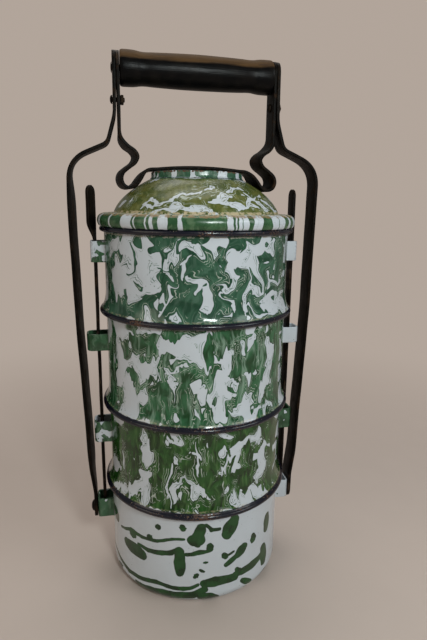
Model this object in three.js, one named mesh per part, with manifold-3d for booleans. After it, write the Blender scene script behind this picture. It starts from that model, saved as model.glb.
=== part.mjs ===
// Four-tier enamelled tiffin carrier: four stacked pans and a domed lid, held in an iron frame
// whose bail clamps over the lid's foot ring. Millimetres, +Z up, X along the grip.
// The origin is the centre of the bottom pan's underside.
import * as THREE from 'three';
import { mergeVertices } from 'three/addons/utils/BufferGeometryUtils.js';
import Module from 'manifold-3d';

const wasm = await Module();
wasm.setup();

// ---- driving dimensions ----

const FIT = 0.3; // clearance between pieces that touch
const TURN_SEGMENTS = 40; // facets round a pan
const SMALL_SEGMENTS = 16; // facets round a pin, bolt or hole

const SHEET = 1.2; // steel sheet with its enamel
const BODY_R = 68.8; // outside of a pan's wall
const BEAD_R = 73.6; // outside of a skirt's bead
const SKIRT_SEAT = 7.3; // height of a pan's underside above its skirt's lower edge
const SKIRT_LIP = 0.3; // vertical gap between a rim and the underside that rests on it
const FLOOR_CORNER = 9; // radius of a pan's bottom corner

const SKIRT_Z = [213.4, 140.7, 74.2]; // lower edge of the skirts of pans 1, 2 and 3
const LID_EDGE_Z = 273.3; // lower edge of the lid
const LID_CREASE_Z = 286.6; // top of the lid's rolled rim, where the dome starts
const RIM_Z = [LID_CREASE_Z - SHEET - SKIRT_LIP, ...SKIRT_Z.map((z) => z + SKIRT_SEAT - SKIRT_LIP)];

const DOME_FOOT_R = 61.3;
const DOME_TOP_Z = 310.4;
const RING_R = 33.6; // foot ring on the dome, which is the lid's foot when it is turned over
const RING_TOP_Z = 315.3;

const PIVOT_Z = 49; // axis that the bail swings about
const ROD_Z = 383.5; // axis of the grip and its tie rod
const BOLT_Z = 363; // bolts that join each strap to the spring clamp
const STRAP_FOOT_X = 82.85; // middle of a strap's sheet at its pivot
const STRAP_BOLT_X = 58.43; // and at its bolt
const STRAP_TIP_X = 58.27; // and at the tie rod
const CLAMP_LEG_X = 55.75; // middle of the spring clamp's sheet along its legs

const UPRIGHT = { x: 75.5, thick: 2.3, width: 11, top: 305.5 };
const UPRIGHT_TWIST = { right: 0, left: 26, out: 2, from: 266.5, to: 280 }; // degrees, at the free top
const LUG = { wall: 1.6, slot: 12.6 };
const LUGS = [
  { pan: 1, reach: 78.9, corner: 2.4, low: 251, high: 266.2 },
  { pan: 2, reach: 84.2, corner: 5, low: 184, high: 197 },
  { pan: 3, reach: 81.4, corner: 4, low: 109, high: 126 },
  { pan: 4, reach: 81.3, corner: 2.4, low: 42.5, high: 58.5 },
];

const TIP_Z = ROD_Z + 2.5; // centre of the half-round tips of the straps and the clamp
const STRAP = { width: 17, thick: 2.3 };
const CLAMP = { width: 17, thick: 2.2 };
const SPRING_LEAN = 0.21; // how far the spring loops lean sideways, per millimetre of width
const STRAP_LEAN = { right: 0, left: 0.17 }; // and the straps beside the pans
const ARCH_END_X = 30; // half the length of the clamp's arch over the foot ring
const GRIP = { half: 54.2, end: 11.7, waist: 10.6, middle: 11.3, bore: 2.6 };
const ROD_R = 2.2;
const ROD_HEAD = { r: 3.6, crown: 2.4, height: 0.8 };
const BOLT_R = 1.6;
const BOLT_HEAD = { r: 2.9, crown: 2, height: 1.7 };
const NUT = { cornerR: 3.5, depth: 2.2 };
const RIVET_R = 2.3;
const RIVET_TAIL = { r: 4, height: 1.6 };
const RIVET_HEAD = { r: 4.6, height: 2.3 };

const TRIM = 0.02; // taken off a trimming outline, so that it never shares a strip's side face
const BEYOND = 150; // half the length of a cutter that has to pass right through the carrier

// ---- materials ----

function finish(color, roughness, metalness) {
  return new THREE.MeshStandardMaterial({ color, roughness, metalness });
}

const IRON = [0x3a322b, 0.6, 0.7];
const ENAMEL = [0x6f9c7c, 0.2, 0];
const LUG_ENAMEL = [0x5f9670, 0.25, 0];
const WOOD = [0x2c2420, 0.5, 0];

// ---- shape helpers ----

// A profile of [radius, height] points turned about the Z axis.
function turned(profile, segments = TURN_SEGMENTS) {
  const points = profile.map(([r, z]) => new THREE.Vector2(r, z));
  if (THREE.ShapeUtils.area(points) < 0) points.reverse();
  return new THREE.LatheGeometry(points, segments).rotateX(Math.PI / 2);
}

// The same, turned about the X axis, with the profile's heights along X.
function turnedAlongX(profile, segments = SMALL_SEGMENTS) {
  return turned(profile, segments).rotateY(Math.PI / 2);
}

function closed(profile) {
  return [...profile, profile[0]];
}

// Points of a quarter-like bend from one point to another round a control point.
function bend(from, control, to, steps) {
  const curve = new THREE.QuadraticBezierCurve(
    new THREE.Vector2(...from),
    new THREE.Vector2(...control),
    new THREE.Vector2(...to),
  );
  return curve.getPoints(steps).map((p) => [p.x, p.y]);
}

function arc(cx, cy, r, fromDeg, toDeg, steps) {
  return Array.from({ length: steps + 1 }, (_, i) => {
    const a = THREE.MathUtils.degToRad(fromDeg + ((toDeg - fromDeg) * i) / steps);
    return [cx + r * Math.cos(a), cy + r * Math.sin(a)];
  });
}

function shapeOf(points) {
  return new THREE.Shape(points.map(([x, y]) => new THREE.Vector2(x, y)));
}

function extruded(shape, depth, steps = 1) {
  return new THREE.ExtrudeGeometry(shape, { depth, bevelEnabled: false, steps, curveSegments: 8 });
}

// Moves every corner of a geometry by the [x, y] shift given for its place.
function shifted(geometry, shift) {
  const at = geometry.attributes.position;
  for (let i = 0; i < at.count; i += 1) {
    const [x, y] = shift(at.getX(i), at.getY(i), at.getZ(i));
    at.setXY(i, at.getX(i) + x, at.getY(i) + y);
  }
  return geometry;
}

// A shape drawn in X and Z, extruded to a width centred on Y = 0.
function acrossY(shape, width) {
  return extruded(shape, width).rotateX(Math.PI / 2).translate(0, width / 2, 0);
}

// A shape drawn in Y and Z, extruded along X from x0.
function alongX(shape, x0, depth) {
  return extruded(shape, depth).rotateX(Math.PI / 2).rotateZ(Math.PI / 2).translate(x0, 0, 0);
}

// A flat bar's outline in Y and Z, with half-round ends about the two given heights.
function barOutline(width, low, high) {
  const r = width / 2;
  return shapeOf([...arc(0, high, r, 0, 180, 8), ...arc(0, low, r, 180, 360, 8)]);
}

// The outline, in X and Z, of a strip of even thickness bent along a centre line.
function stripOutline(centre, thick) {
  const side = (sign) =>
    centre.map((p, i) => {
      const a = centre[Math.max(i - 1, 0)];
      const b = centre[Math.min(i + 1, centre.length - 1)];
      const along = b.clone().sub(a).normalize();
      return [p.x - (sign * along.y * thick) / 2, p.y + (sign * along.x * thick) / 2];
    });
  return shapeOf([...side(1), ...side(-1).reverse()]);
}

function toSolid(geometry) {
  const bare = geometry.clone();
  bare.deleteAttribute('normal');
  bare.deleteAttribute('uv');
  const merged = mergeVertices(bare, 1e-4);
  const vertProperties = new Float32Array(merged.attributes.position.array);
  const triVerts = new Uint32Array(merged.index.array);
  return new wasm.Manifold(new wasm.Mesh({ numProp: 3, vertProperties, triVerts }));
}

function toGeometry(solid) {
  const mesh = solid.getMesh();
  const geometry = new THREE.BufferGeometry();
  geometry.setAttribute('position', new THREE.BufferAttribute(new Float32Array(mesh.vertProperties), 3));
  geometry.setIndex(new THREE.BufferAttribute(new Uint32Array(mesh.triVerts), 1));
  geometry.computeVertexNormals();
  return geometry;
}

// A strip cut to a flat bar's outline, which gives it half-round ends.
function trimmedToBar(ribbon, width, low, high) {
  const outline = alongX(barOutline(width - TRIM, low, high), -BEYOND, 2 * BEYOND);
  return toGeometry(toSolid(ribbon).intersect(toSolid(outline)));
}

// Removes round holes along X, given as [height, radius], from a geometry.
function drilled(geometry, holes) {
  let solid = toSolid(geometry);
  for (const [z, r] of holes) {
    const drill = new THREE.CylinderGeometry(r, r, 2 * BEYOND, SMALL_SEGMENTS).rotateZ(Math.PI / 2);
    solid = solid.subtract(toSolid(drill.translate(0, 0, z)));
  }
  return toGeometry(solid);
}

function piece(name, geometry, look) {
  const mesh = new THREE.Mesh(geometry, finish(...look));
  mesh.name = name;
  return mesh;
}

// ---- enamelled pans and lid ----

// Inside of a pan, from the rim down the wall, round the corner and along the floor to the axis.
function panInside(rim, floor) {
  const r = BODY_R - SHEET;
  return [
    [BODY_R - 0.5, rim],
    [r + 0.4, rim],
    [r, rim - 1],
    ...arc(r - FLOOR_CORNER, floor + FLOOR_CORNER, FLOOR_CORNER, 0, -90, 4),
    [0, floor],
  ];
}

// Flared skirt from the beaded lower edge up to the wall, from z = 0 at the edge.
function skirtOutside() {
  return [
    [BEAD_R - 2.6, 0],
    [BEAD_R - 0.8, 0.3],
    [BEAD_R, 2],
    [BEAD_R - 0.9, 3.8],
    ...bend([BEAD_R - 2, 4.4], [BODY_R + 0.2, 9], [BODY_R, 17], 4),
  ];
}

// An upper pan: its skirt slips over the rim of the pan below, which carries its underside.
function stackedPan(name, skirtZ, rimZ) {
  const rim = rimZ - skirtZ;
  const wall = [BODY_R, rim - 0.8];
  const floor = SKIRT_SEAT + SHEET;
  const underside = [
    [0, SKIRT_SEAT],
    [BODY_R + 0.6, SKIRT_SEAT],
    [BODY_R + 1.6, 4.2],
  ];
  const profile = [...underside, ...skirtOutside(), wall, ...panInside(rim, floor)];
  const pan = piece(name, turned(profile), ENAMEL);
  pan.position.z = skirtZ;
  return pan;
}

// The bottom pan stands on its own flat underside.
function bottomPan(rimZ) {
  const outerCorner = arc(BODY_R - FLOOR_CORNER, FLOOR_CORNER, FLOOR_CORNER, -90, 0, 5);
  const profile = [[0, 0], ...outerCorner, [BODY_R, rimZ - 0.8], ...panInside(rimZ, SHEET)];
  return piece('pan_4', turned(profile), ENAMEL);
}

function lidShell() {
  const rollR = BEAD_R + 0.1;
  const beadR = BEAD_R - 1.4;
  const dome = bend([DOME_FOOT_R, LID_CREASE_Z], [56.5, 299.5], [RING_R + 1, DOME_TOP_Z], 6);
  const domeInside = dome.map(([r, z]) => [r - SHEET * 0.75, z - SHEET * 0.8]).reverse();
  const outside = [
    [beadR - 2.2, LID_EDGE_Z],
    [beadR - 0.6, LID_EDGE_Z + 0.3],
    [beadR, LID_EDGE_Z + 2],
    [beadR - 0.8, LID_EDGE_Z + 4],
    [rollR - 0.7, LID_EDGE_Z + 5.4],
    [rollR, LID_EDGE_Z + 8],
    [rollR - 1.2, LID_EDGE_Z + 11],
    [rollR - 4.5, LID_EDGE_Z + 12.9],
    [rollR - 8, LID_CREASE_Z + 0.2],
    ...dome,
    [RING_R - 1, DOME_TOP_Z + 0.3],
    [0, DOME_TOP_Z + 0.3],
  ];
  const inside = [
    [0, DOME_TOP_Z + 0.3 - SHEET],
    ...domeInside,
    [BODY_R + 0.6, LID_CREASE_Z - SHEET],
    [BODY_R + 0.8, LID_EDGE_Z + 4],
    [BODY_R + 0.6, LID_EDGE_Z + 0.6],
  ];
  return piece('lid_dome', turned([...outside, ...inside, outside[0]]), ENAMEL);
}

function footRing() {
  const low = DOME_TOP_Z + 0.3 + FIT;
  const profile = [
    [RING_R - SHEET, low],
    [RING_R, low],
    [RING_R, RING_TOP_Z - 0.5],
    [RING_R - 0.5, RING_TOP_Z],
    [RING_R - SHEET + 0.5, RING_TOP_Z],
    [RING_R - SHEET, RING_TOP_Z - 0.5],
  ];
  return piece('lid_foot_ring', turned(closed(profile)), ENAMEL);
}

// ---- frame pieces on the +X side ----

// A band bent round the upright, with both feet on the pan's wall.
function lugBand({ reach, corner, low, high }) {
  const inner = LUG.slot / 2;
  const outer = inner + LUG.wall;
  const footX = (y) => Math.sqrt((BODY_R + FIT) ** 2 - y ** 2);
  const outline = [
    [footX(outer), -outer],
    ...arc(reach - corner, -outer + corner, corner, -90, 0, 4),
    ...arc(reach - corner, outer - corner, corner, 0, 90, 4),
    [footX(outer), outer],
    [footX(inner), inner],
    ...arc(reach - corner, outer - corner, corner - LUG.wall, 90, 0, 4),
    ...arc(reach - corner, -outer + corner, corner - LUG.wall, 0, -90, 4),
    [footX(inner), -inner],
  ];
  return extruded(shapeOf(outline), high - low).translate(0, 0, low);
}

function lugs(side) {
  return LUGS.map((lug) => {
    const band = lugBand(lug);
    const geometry = lug.pan === 4 ? drilled(band, [[PIVOT_Z, RIVET_R + FIT]]) : band;
    return piece(`lug_${lug.pan}_${side}`, geometry, LUG_ENAMEL);
  });
}

// Flat bar that stands in the four lugs. Above the top lug it may be twisted about its own axis
// and set outwards, to clear the lid.
function upright(side) {
  const [halfThick, halfWidth] = [UPRIGHT.thick / 2, UPRIGHT.width / 2];
  const foot = PIVOT_Z - halfWidth;
  const section = shapeOf([
    [UPRIGHT.x - halfThick, -halfWidth],
    [UPRIGHT.x + halfThick, -halfWidth],
    [UPRIGHT.x + halfThick, halfWidth],
    [UPRIGHT.x - halfThick, halfWidth],
  ]);
  const blank = extruded(section, UPRIGHT.top - foot, 60).translate(0, 0, foot);
  const twisted = shifted(blank, (x, y, z) => {
    const share = THREE.MathUtils.smoothstep(z, UPRIGHT_TWIST.from, UPRIGHT_TWIST.to);
    const a = -THREE.MathUtils.degToRad(UPRIGHT_TWIST[side] * share);
    const off = x - UPRIGHT.x;
    const out = UPRIGHT_TWIST[side] === 0 ? 0 : UPRIGHT_TWIST.out * share;
    return [
      off * (Math.cos(a) - 1) - y * Math.sin(a) + out,
      off * Math.sin(a) + y * (Math.cos(a) - 1),
    ];
  });
  const bar = trimmedToBar(twisted, UPRIGHT.width, PIVOT_Z, UPRIGHT.top - halfWidth);
  return piece(`upright_${side}`, drilled(bar, [[PIVOT_Z, RIVET_R + FIT]]), IRON);
}

// Rivet through the strap, the bottom lug and the foot of the upright.
function pivotRivet(side) {
  const tail = UPRIGHT.x - UPRIGHT.thick / 2 - FIT;
  const head = STRAP_FOOT_X + STRAP.thick / 2 + FIT;
  const profile = [
    [0, tail - RIVET_TAIL.height],
    [RIVET_TAIL.r - 0.6, tail - RIVET_TAIL.height + 0.2],
    [RIVET_TAIL.r, tail],
    [RIVET_R, tail],
    [RIVET_R, head],
    [RIVET_HEAD.r, head],
    [RIVET_HEAD.r - 0.5, head + RIVET_HEAD.height / 2],
    [RIVET_HEAD.r / 2, head + RIVET_HEAD.height - 0.3],
    [0, head + RIVET_HEAD.height],
  ];
  const rivet = piece(`pivot_rivet_${side}`, turnedAlongX(profile), IRON);
  rivet.position.z = PIVOT_Z;
  return rivet;
}

// ---- bail ----

// Centre line with rounded corners, from [x, z, corner radius] points.
function roundedLine(corners) {
  const path = new THREE.CurvePath();
  const at = corners.map(([x, z]) => new THREE.Vector2(x, z));
  let start = at[0];
  for (let i = 1; i < corners.length - 1; i += 1) {
    const back = at[i - 1].clone().sub(at[i]).normalize();
    const ahead = at[i + 1].clone().sub(at[i]).normalize();
    const turn = Math.PI - back.angleTo(ahead);
    const reach = corners[i][2] * Math.tan(turn / 2);
    const enter = at[i].clone().addScaledVector(back, reach);
    const leave = at[i].clone().addScaledVector(ahead, reach);
    path.add(new THREE.LineCurve(start, enter));
    path.add(new THREE.QuadraticBezierCurve(enter, at[i], leave));
    start = leave;
  }
  path.add(new THREE.LineCurve(start, at.at(-1)));
  return path;
}

function pathPoints(path, bendSteps) {
  return path.curves.flatMap((curve, i) => {
    const steps = curve.type === 'LineCurve' ? 1 : bendSteps;
    return curve.getPoints(steps).slice(i === 0 ? 0 : 1);
  });
}

function strap(side) {
  const tipR = STRAP.width / 2;
  const line = roundedLine([
    [58.2, TIP_Z + tipR + 1],
    [58.5, 353, 30],
    [64.2, 333.8, 8],
    [91.9, 321.6, 22],
    [90.6, 214, 500],
    [85.5, 86, 90],
    [STRAP_FOOT_X, 65, 30],
    [STRAP_FOOT_X, PIVOT_Z - tipR - 1],
  ]);
  const straight = acrossY(stripOutline(pathPoints(line, 5), STRAP.thick), STRAP.width);
  const ribbon = shifted(straight, (x, y, z) => {
    const aboveFoot = THREE.MathUtils.smoothstep(z, 62, 100);
    const belowShoulder = 1 - THREE.MathUtils.smoothstep(z, 290, 325);
    return [STRAP_LEAN[side] * aboveFoot * belowShoulder * (y - STRAP.width / 2), 0];
  });
  const trimmed = trimmedToBar(ribbon, STRAP.width, PIVOT_Z, TIP_Z);
  const holes = [
    [ROD_Z, ROD_R + FIT],
    [BOLT_Z, BOLT_R + FIT],
    [PIVOT_Z, RIVET_R + FIT],
  ];
  return piece(`strap_${side}`, drilled(trimmed, holes), IRON);
}

// One strip from grip end to grip end: down each leg, round an S-shaped spring, and over the
// foot ring. Over the ring it is arched about the pivot, so it slides off as the bail swings.
// The springs lean, so that their front edges lie a little further to +X than their back edges.
function springClamp() {
  const archZ = (x) => {
    const reach = RING_TOP_Z - PIVOT_Z;
    return RING_TOP_Z + FIT + CLAMP.thick / 2 + (RING_R ** 2 - x ** 2) / (2 * reach);
  };
  const spring = [
    [CLAMP_LEG_X, 345],
    [55.3, 337.4],
    [51.8, 332.4],
    [47.2, 329.2],
    [45, 325.4],
    [46.9, 321],
    [51.6, 317.4],
    [55.4, 314],
    [56.6, 309.6],
    [54.8, 305.4],
    [50.6, 303.9],
    [46.3, 305.9],
    [43, 310.2],
    [39.8, 314.3],
    [35.6, 316.7],
    [ARCH_END_X, archZ(ARCH_END_X)],
  ];
  const springCurve = new THREE.SplineCurve(spring.map(([x, z]) => new THREE.Vector2(x, z)));
  const archStep = ARCH_END_X / 4;
  const arch = [3, 2, 1].map((i) => new THREE.Vector2(i * archStep, archZ(i * archStep)));
  const legTop = new THREE.Vector2(CLAMP_LEG_X, TIP_Z + CLAMP.width / 2 + 1);
  const half = [legTop, ...springCurve.getPoints(36), ...arch];
  const mirrored = half.map((p) => new THREE.Vector2(-p.x, p.y)).reverse();
  const centre = [...half, new THREE.Vector2(0, archZ(0)), ...mirrored];
  const straight = acrossY(stripOutline(centre, CLAMP.thick), CLAMP.width);
  const ribbon = shifted(straight, (x, y, z) => {
    const pastRing = THREE.MathUtils.smoothstep(Math.abs(x), 36, 44);
    const belowLeg = 1 - THREE.MathUtils.smoothstep(z, 331, 343);
    return [-SPRING_LEAN * pastRing * belowLeg * y, 0];
  });
  const trimmed = trimmedToBar(ribbon, CLAMP.width, PIVOT_Z, TIP_Z);
  const holes = [
    [ROD_Z, ROD_R + FIT],
    [BOLT_Z, BOLT_R + FIT],
  ];
  return piece('spring_clamp', drilled(trimmed, holes), IRON);
}

function grip() {
  const { half, end, waist, middle, bore } = GRIP;
  const outside = [
    [end - 1.2, -half],
    [end, -half + 1.2],
    [end, -half + 10],
    [waist, -half + 15],
    [middle, -half + 30],
    [middle + 0.3, 0],
    [middle, half - 30],
    [waist, half - 15],
    [end, half - 10],
    [end, half - 1.2],
    [end - 1.2, half],
  ];
  const profile = closed([[bore, -half], ...outside, [bore, half]]);
  const handle = piece('grip', turnedAlongX(profile, 20), WOOD);
  handle.position.z = ROD_Z;
  return handle;
}

// Tie rod through the grip, peened over on the outside of both straps.
function tieRod() {
  const face = STRAP_TIP_X + STRAP.thick / 2 + FIT;
  const crown = face + ROD_HEAD.height - 0.3;
  const profile = [
    [0, -face - ROD_HEAD.height],
    [ROD_HEAD.crown, -crown],
    [ROD_HEAD.r, -face],
    [ROD_R, -face],
    [ROD_R, face],
    [ROD_HEAD.r, face],
    [ROD_HEAD.crown, crown],
    [0, face + ROD_HEAD.height],
  ];
  const rod = piece('grip_rod', turnedAlongX(profile), IRON);
  rod.position.z = ROD_Z;
  return rod;
}

// Bolt through a strap and a clamp leg, from the face under its head to the face under its nut.
function boltAndNut(side, headX, nutX) {
  const sign = Math.sign(nutX - headX);
  const end = nutX + sign * (NUT.depth + 0.8);
  const profile = [
    [0, headX - sign * BOLT_HEAD.height],
    [BOLT_HEAD.crown, headX - sign * (BOLT_HEAD.height - 0.3)],
    [BOLT_HEAD.r, headX - sign * 0.5],
    [BOLT_HEAD.r, headX],
    [BOLT_R, headX],
    [BOLT_R, end],
    [0, end],
  ];
  const bolt = piece(`clamp_bolt_${side}`, turnedAlongX(profile), IRON);
  bolt.position.z = BOLT_Z;
  const hexagon = shapeOf(arc(0, 0, NUT.cornerR, 0, 300, 5));
  const nutBody = alongX(hexagon, Math.min(nutX, nutX + sign * NUT.depth), NUT.depth);
  const nut = piece(`clamp_nut_${side}`, drilled(nutBody, [[0, BOLT_R + FIT]]), IRON);
  nut.position.z = BOLT_Z;
  return [bolt, nut];
}

// ---- assembly ----

const carrier = new THREE.Group();

const stack = new THREE.Group();
stack.add(stackedPan('pan_1', SKIRT_Z[0], RIM_Z[0]));
stack.add(stackedPan('pan_2', SKIRT_Z[1], RIM_Z[1]));
stack.add(stackedPan('pan_3', SKIRT_Z[2], RIM_Z[2]));
stack.add(bottomPan(RIM_Z[3]));
carrier.add(stack);

const lid = new THREE.Group();
lid.add(lidShell(), footRing());
carrier.add(lid);

const bail = new THREE.Group();
bail.add(grip(), tieRod(), springClamp());
carrier.add(bail);

const strapFaceX = STRAP_BOLT_X + STRAP.thick / 2 + FIT;
const clampFaceX = CLAMP_LEG_X - CLAMP.thick / 2 - FIT;

for (const side of ['right', 'left']) {
  const turn = side === 'right' ? 0 : Math.PI;
  const frameSide = new THREE.Group();
  frameSide.rotation.z = turn;
  frameSide.add(upright(side), pivotRivet(side), ...lugs(side));
  carrier.add(frameSide);

  const bailSide = new THREE.Group();
  bailSide.rotation.z = turn;
  const boltEnds = side === 'left' ? [strapFaceX, clampFaceX] : [clampFaceX, strapFaceX];
  bailSide.add(strap(side), ...boltAndNut(side, ...boltEnds));
  bail.add(bailSide);
}

export default carrier;
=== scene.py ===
"""Looks of the four-tier enamelled tiffin carrier.

The pieces are drawn in millimetres and make() turns them into metres. The floor, lights and camera are
in metres. X runs along the grip, Y is the way the bail swings, and Z is up from the bottom pan's
underside.
"""

import math

import bmesh
import bpy
from mathutils import Matrix, Vector, noise


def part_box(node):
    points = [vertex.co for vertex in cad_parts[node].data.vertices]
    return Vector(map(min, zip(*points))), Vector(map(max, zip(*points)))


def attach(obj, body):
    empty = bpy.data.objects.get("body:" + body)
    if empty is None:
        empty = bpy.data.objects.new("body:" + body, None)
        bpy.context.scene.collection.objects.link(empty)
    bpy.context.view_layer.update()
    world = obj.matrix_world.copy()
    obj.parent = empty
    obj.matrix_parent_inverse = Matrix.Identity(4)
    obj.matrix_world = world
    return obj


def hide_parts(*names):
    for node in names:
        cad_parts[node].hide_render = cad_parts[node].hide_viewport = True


MM = 0.001
NOISE_SEED = 1
noise.seed_set(NOISE_SEED)  # Blender seeds noise_vector from the clock otherwise, so each run would differ
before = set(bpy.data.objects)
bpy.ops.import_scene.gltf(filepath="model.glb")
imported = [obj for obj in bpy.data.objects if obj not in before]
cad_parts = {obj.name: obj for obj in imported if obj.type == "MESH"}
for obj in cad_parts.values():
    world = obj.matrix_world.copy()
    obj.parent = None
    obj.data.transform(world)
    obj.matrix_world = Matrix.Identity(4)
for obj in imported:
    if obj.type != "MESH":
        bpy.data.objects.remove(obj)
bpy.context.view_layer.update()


def cad_mm(node):
    """Lowest and highest corner of a CAD node, in millimetres."""
    low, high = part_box(node)
    return [c / MM for c in low], [c / MM for c in high]


# ---- driving dimensions ----

PANS = ("pan_1", "pan_2", "pan_3", "pan_4")
PAN_LOW = {pan: cad_mm(pan)[0][2] for pan in PANS}
PAN_HIGH = {pan: cad_mm(pan)[1][2] for pan in PANS}
LID_LOW = cad_mm("lid_dome")[0][2]
LID_HIGH = cad_mm("lid_dome")[1][2]
RING_HIGH = cad_mm("lid_foot_ring")[1][2]

TURN_STEPS = 256
BODY_R = 68.8
BEAD_R = 73.6
BEAD = 1.9  # radius of the rolled, black-edged bead
SHEET = 1.2
SKIRT_SEAT = 7.3  # underside of an upper pan's floor, above its edge
FLARE_TOP = 17.5
FLOOR_CORNER = 9
CREASE_Z = LID_LOW + 13.3
DOME_FOOT_R = 61.3
RING_R = 33.6

PIVOT_Z = 49
ROD_Z = 383.5
BOLT_Z = 363
STRAP_FOOT_X = 82.85
STRAP_BOLT_X = 58.43
STRAP_TIP_X = 58.27
CLAMP_LEG_X = 55.75
TIP_Z = ROD_Z + 2.5  # centre of the half-round tips of the straps and the clamp
STRAP_WIDTH, STRAP_THICK = 17, 2.3
CLAMP_WIDTH, CLAMP_THICK = 17, 2.2
SPRING_LEAN = 0.21  # how far the spring loops lean sideways, per millimetre of width
STRAP_LEAN = {"right": 0, "left": 0.17}  # and the straps beside the pans
ARCH_END_X = 30
FIT = 0.3
UPRIGHT_X, UPRIGHT_WIDTH, UPRIGHT_THICK = 75.5, 11, 2.3
UPRIGHT_TWIST = {"right": 0, "left": 26}  # degrees, above the top lug
UPRIGHT_SET = {"right": 0, "left": 2}  # how far it is set outwards there
UPRIGHT_BEND = (266.5, 280)  # heights between which both come in
LUG_WALL, LUG_SLOT = 1.6, 12.6
LUGS = {1: (78.9, 2.4), 2: (84.2, 5), 3: (81.4, 4), 4: (81.3, 2.4)}  # reach and corner radius

RIVET_R, RIVET_HEAD_R, RIVET_TAIL_R = 2.3, 4.6, 4
RIVET_HEAD_RISE, RIVET_TAIL_RISE = 2.3, 1.6
ROD_R, PEEN_R, PEEN_RISE = 2.2, 3.6, 0.8
BOLT_R, BOLT_HEAD_R, BOLT_HEAD_EDGE, BOLT_HEAD_RISE = 1.6, 2.9, 0.4, 1.3
BOLT_END = 3.0  # how far a bolt reaches past the face that its nut sits on
NUT_R, NUT_DEPTH, NUT_CHAMFER = 3.5, 2.2, 0.3
GRIP_HALF, GRIP_BORE_R = 54.2, 2.6

CORNER_STEPS = 3  # per rounded corner of a bar's section
TIP_HALF = 0.6  # half the width left at the very end of a rounded bar
FOOT_REACH = 1.5


# ---- mesh helpers ----


def arc(cx, cy, r, start, end, steps):
    """Points of an arc, angles in degrees."""
    turns = [math.radians(start + (end - start) * i / steps) for i in range(steps + 1)]
    return [(cx + r * math.cos(a), cy + r * math.sin(a)) for a in turns]


def bezier(a, b, c, steps):
    """Points of a quadratic curve from a to c, pulled towards b."""
    points = []
    for i in range(steps + 1):
        t = i / steps
        weights = ((1 - t) ** 2, 2 * t * (1 - t), t * t)
        points.append(tuple(sum(w * p[k] for w, p in zip(weights, (a, b, c))) for k in (0, 1)))
    return points


def turned(profile, steps=TURN_STEPS):
    """Vertices and faces of a [radius, height] outline turned about Z."""
    verts, rings, faces = [], [], []
    for r, z in profile:
        if r < 1e-6:
            rings.append([len(verts)] * steps)
            verts.append((0, 0, z))
        else:
            rings.append(list(range(len(verts), len(verts) + steps)))
            turns = [2 * math.pi * i / steps for i in range(steps)]
            verts += [(r * math.cos(a), r * math.sin(a), z) for a in turns]
    if profile[0][0] > 1e-6:
        rings.append(rings[0])
    for low, high in zip(rings, rings[1:]):
        for i in range(steps):
            j = (i + 1) % steps
            face = list(dict.fromkeys((low[i], low[j], high[j], high[i])))
            if len(face) > 2:
                faces.append(face)
    return verts, faces


def along_x(part):
    """The same part with its heights along X."""
    verts, faces = part
    return [(z, y, -x) for x, y, z in verts], faces


def moved(part, x=0.0, y=0.0, z=0.0):
    verts, faces = part
    return [(a + x, b + y, c + z) for a, b, c in verts], faces


def half_turned(part):
    """The part turned half a turn about Z, onto the other side of the carrier."""
    verts, faces = part
    return [(-x, -y, z) for x, y, z in verts], faces


def shaken(part, size, amount, seed):
    """The part with its surface made slightly uneven, as hand-formed sheet is."""
    verts, faces = part
    shift = Vector((seed * 17.3, seed * 5.9, seed * 11.1))
    out = []
    for v in verts:
        at = Vector(v) / size + shift
        out.append(tuple(c + amount * d for c, d in zip(v, noise.noise_vector(at))))
    return out, faces


def lengths_along(points):
    """How far along the polyline each of its points is."""
    lengths = [0.0]
    for a, b in zip(points, points[1:]):
        lengths.append(lengths[-1] + (b - a).length)
    return lengths


def evenly(points, gap):
    """Points about a gap apart along a polyline."""
    points = [Vector(p) for p in points]
    lengths = lengths_along(points)
    count = max(2, round(lengths[-1] / gap))
    out, k = [], 0
    for i in range(count + 1):
        at = lengths[-1] * i / count
        while k < len(points) - 2 and lengths[k + 1] < at:
            k += 1
        share = (at - lengths[k]) / (lengths[k + 1] - lengths[k])
        out.append(points[k].lerp(points[k + 1], share))
    return out


def bar(centre, across, width, thick, edge=0.5, round_ends=True, foot=0.0):
    """A flat bar of even section swept along a centre line.

    across is the direction of its width, or gives that direction at a place. round_ends narrows
    both ends to half circles. foot thickens both ends, as a brazed foot does.
    """
    lengths = lengths_along(centre)
    verts, faces = [], []
    last = len(centre) - 1
    for i, p in enumerate(centre):
        along = (centre[min(i + 1, last)] - centre[max(i - 1, 0)]).normalized()
        side = Vector(across(p) if callable(across) else across)
        out = along.cross(side).normalized()
        from_end = min(lengths[i], lengths[-1] - lengths[i])
        half = width / 2
        if round_ends and from_end < half:
            half = max(TIP_HALF, math.sqrt(half**2 - (half - from_end) ** 2))
        tall = thick / 2 * (1 + foot * math.exp(-from_end / FOOT_REACH))
        trim = min(edge, half * 0.6, tall * 0.8)
        for sx, sy, start in ((1, 1, 0), (-1, 1, 90), (-1, -1, 180), (1, -1, 270)):
            x0, y0 = sx * (half - trim), sy * (tall - trim)
            for x, y in arc(x0, y0, trim, start, start + 90, CORNER_STEPS):
                verts.append(tuple(p + side * x + out * y))
    per = 4 * (CORNER_STEPS + 1)
    for i in range(last):
        for j in range(per):
            k = (j + 1) % per
            faces.append([i * per + j, i * per + k, (i + 1) * per + k, (i + 1) * per + j])
    faces.append(list(range(per)))
    faces.append([last * per + j for j in range(per)])
    return verts, faces


def placed(name, data):
    """A new object with the data, put into the scene."""
    thing = bpy.data.objects.new(name, data)
    bpy.context.scene.collection.objects.link(thing)
    return thing


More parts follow.
